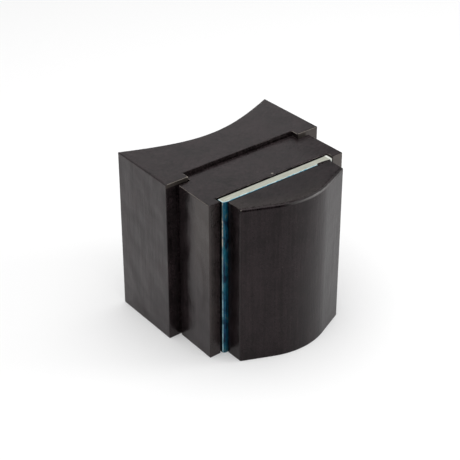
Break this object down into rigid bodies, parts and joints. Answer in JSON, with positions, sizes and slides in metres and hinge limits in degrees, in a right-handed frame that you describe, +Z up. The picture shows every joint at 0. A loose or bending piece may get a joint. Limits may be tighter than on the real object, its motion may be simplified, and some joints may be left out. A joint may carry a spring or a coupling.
{
  "type": "wheel stop block",
  "caption": "Compact rubber wheel stop block: hollow-backed saddle, keyed spacer and crowned nose on a zinc-plated steel plate, bolted up in a row from the hollow.",
  "frame": {"origin": "on the floor, under the middle of the block's bounding box", "axes": "+Z up, the crowned nose faces -Y and the hollow of the saddle faces +Y, +X across the block"},
  "size_m": [0.1602, 0.1482, 0.15],
  "materials": {
    "black_rubber": "matt moulded rubber, slightly mottled, edges worn grey",
    "blue_zinc_plate": "zinc plated and blue passivated, sheared edges pale",
    "zinc_fasteners": "bright zinc plated",
    "plain_steel": "plain drawn steel"
  },
  "bodies": {
    "root": {"saddle_block": "black_rubber", "spacer_block": "black_rubber", "nose_block": "black_rubber", "backing_plate": "blue_zinc_plate", "clamp_bolt_lower_left": "zinc_fasteners", "clamp_bolt_lower_right": "zinc_fasteners", "clamp_bolt_upper_left": "zinc_fasteners", "clamp_bolt_upper_right": "zinc_fasteners", "washer_lower_left": "zinc_fasteners", "washer_lower_right": "zinc_fasteners", "washer_upper_left": "zinc_fasteners", "washer_upper_right": "zinc_fasteners", "sleeve_lower_left": "plain_steel", "sleeve_lower_right": "plain_steel", "sleeve_upper_left": "plain_steel", "sleeve_upper_right": "plain_steel", "weld_nut_lower_left": "plain_steel", "weld_nut_lower_right": "plain_steel", "weld_nut_upper_left": "plain_steel", "weld_nut_upper_right": "plain_steel"}
  },
  "joints": []
}
